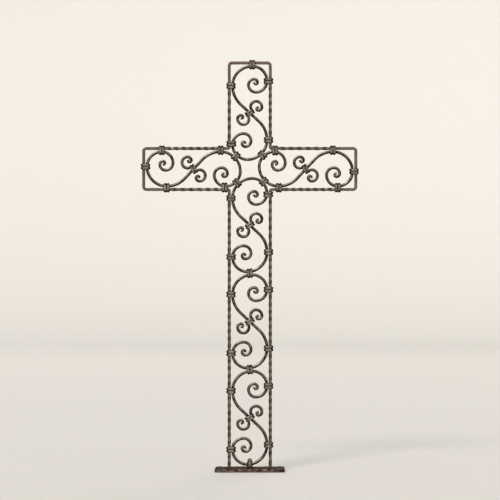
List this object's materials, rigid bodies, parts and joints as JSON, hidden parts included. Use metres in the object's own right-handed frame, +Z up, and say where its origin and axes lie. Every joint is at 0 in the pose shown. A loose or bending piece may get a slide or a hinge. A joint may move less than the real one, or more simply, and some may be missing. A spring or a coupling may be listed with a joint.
{
  "type": "wrought iron cross",
  "caption": "Standing memorial cross of twisted square bar, filled with collared scrolls and fixed on a flat foot plate.",
  "frame": {"origin": "centre of the underside of the foot plate, on the surface the cross stands on", "axes": "+Z up the shaft, +X to the viewer's right along the arms, -Y towards the viewer"},
  "size_m": [0.554, 0.088, 1.0445],
  "materials": {
    "frame_iron": "dark waxed forged iron, brushed bright on the corners of the twist",
    "scroll_iron": "dark waxed forged iron with worn faces",
    "collar_iron": "dark grey-green forged iron, black in the grooves",
    "plate_iron": "dark brown hammered iron"
  },
  "bodies": {
    "root": {"frame_bar": "frame_iron", "base_plate": "plate_iron", "collar_foot": "collar_iron", "scroll_top": "scroll_iron", "curl_top_a": "scroll_iron", "curl_top_b": "scroll_iron", "collar_top_a": "collar_iron", "collar_top_b": "collar_iron", "collar_top_c": "collar_iron", "collar_top_d": "collar_iron", "collar_top_mid": "collar_iron", "collar_top_end": "collar_iron", "scroll_left": "scroll_iron", "curl_left_a": "scroll_iron", "curl_left_b": "scroll_iron", "collar_left_a": "collar_iron", "collar_left_b": "collar_iron", "collar_left_c": "collar_iron", "collar_left_d": "collar_iron", "collar_left_mid": "collar_iron", "collar_left_end": "collar_iron", "scroll_right": "scroll_iron", "curl_right_a": "scroll_iron", "curl_right_b": "scroll_iron", "collar_right_a": "collar_iron", "collar_right_b": "collar_iron", "collar_right_c": "collar_iron", "collar_right_d": "collar_iron", "collar_right_mid": "collar_iron", "collar_right_end": "collar_iron", "scroll_shaft_1": "scroll_iron", "curl_shaft_1_a": "scroll_iron", "curl_shaft_1_b": "scroll_iron", "collar_shaft_1_a": "collar_iron", "collar_shaft_1_b": "collar_iron", "collar_shaft_1_c": "collar_iron", "collar_shaft_1_d": "collar_iron", "collar_shaft_1_mid": "collar_iron", "scroll_shaft_2": "scroll_iron", "curl_shaft_2_a": "scroll_iron", "curl_shaft_2_b": "scroll_iron", "collar_shaft_2_a": "collar_iron", "collar_shaft_2_b": "collar_iron", "collar_shaft_2_c": "collar_iron", "collar_shaft_2_d": "collar_iron", "collar_shaft_2_mid": "collar_iron", "scroll_shaft_3": "scroll_iron", "curl_shaft_3_a": "scroll_iron", "curl_shaft_3_b": "scroll_iron", "collar_shaft_3_a": "collar_iron", "collar_shaft_3_b": "collar_iron", "collar_shaft_3_c": "collar_iron", "collar_shaft_3_d": "collar_iron", "collar_shaft_3_mid": "collar_iron", "collar_heart_1": "collar_iron", "collar_heart_2": "collar_iron", "collar_heart_3": "collar_iron", "collar_heart_4": "collar_iron", "collar_link_1": "collar_iron", "collar_link_2": "collar_iron"}
  },
  "joints": []
}
